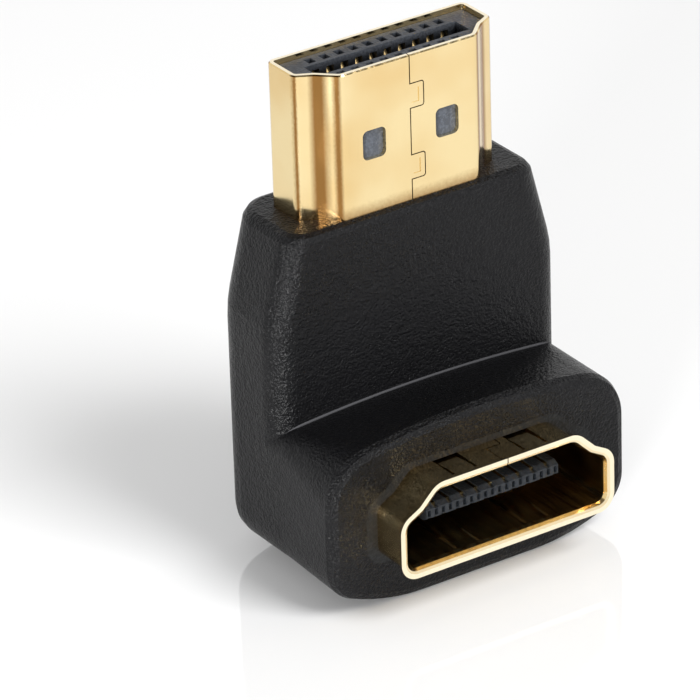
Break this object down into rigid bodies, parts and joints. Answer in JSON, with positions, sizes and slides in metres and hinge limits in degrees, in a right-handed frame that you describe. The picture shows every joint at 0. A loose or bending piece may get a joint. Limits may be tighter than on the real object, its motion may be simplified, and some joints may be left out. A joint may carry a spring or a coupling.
{
  "type": "right angle digital video adapter",
  "caption": "Right angle adapter between a male plug and a female socket of a 19 contact digital video connector, in a black moulded body.",
  "frame": {"origin": "centre of the floor rectangle under the whole adapter", "axes": "+X along the width of both connectors, -Y out of the socket's mouth, +Z out of the plug's tip"},
  "size_m": [0.021, 0.0154, 0.0311],
  "materials": {
    "body_plastic": "fine satin moulded grain",
    "mould_plastic": "smooth satin",
    "housing_plastic": "fine satin",
    "board": "solder mask",
    "shell_gold": "polished gold plate",
    "contact_gold": "gold plate"
  },
  "bodies": {
    "root": {"overmould_body": "body_plastic", "inner_mould": "mould_plastic", "circuit_board": "board", "plug_shell": "shell_gold", "plug_housing": "housing_plastic", "socket_shell": "shell_gold", "socket_housing": "housing_plastic", "plug_contact_01": "contact_gold", "plug_contact_02": "contact_gold", "plug_contact_03": "contact_gold", "plug_contact_04": "contact_gold", "plug_contact_05": "contact_gold", "plug_contact_06": "contact_gold", "plug_contact_07": "contact_gold", "plug_contact_08": "contact_gold", "plug_contact_09": "contact_gold", "plug_contact_10": "contact_gold", "plug_contact_11": "contact_gold", "plug_contact_12": "contact_gold", "plug_contact_13": "contact_gold", "plug_contact_14": "contact_gold", "plug_contact_15": "contact_gold", "plug_contact_16": "contact_gold", "plug_contact_17": "contact_gold", "plug_contact_18": "contact_gold", "plug_contact_19": "contact_gold", "socket_contact_01": "contact_gold", "socket_contact_02": "contact_gold", "socket_contact_03": "contact_gold", "socket_contact_04": "contact_gold", "socket_contact_05": "contact_gold", "socket_contact_06": "contact_gold", "socket_contact_07": "contact_gold", "socket_contact_08": "contact_gold", "socket_contact_09": "contact_gold", "socket_contact_10": "contact_gold", "socket_contact_11": "contact_gold", "socket_contact_12": "contact_gold", "socket_contact_13": "contact_gold", "socket_contact_14": "contact_gold", "socket_contact_15": "contact_gold", "socket_contact_16": "contact_gold", "socket_contact_17": "contact_gold", "socket_contact_18": "contact_gold", "socket_contact_19": "contact_gold"}
  },
  "joints": []
}
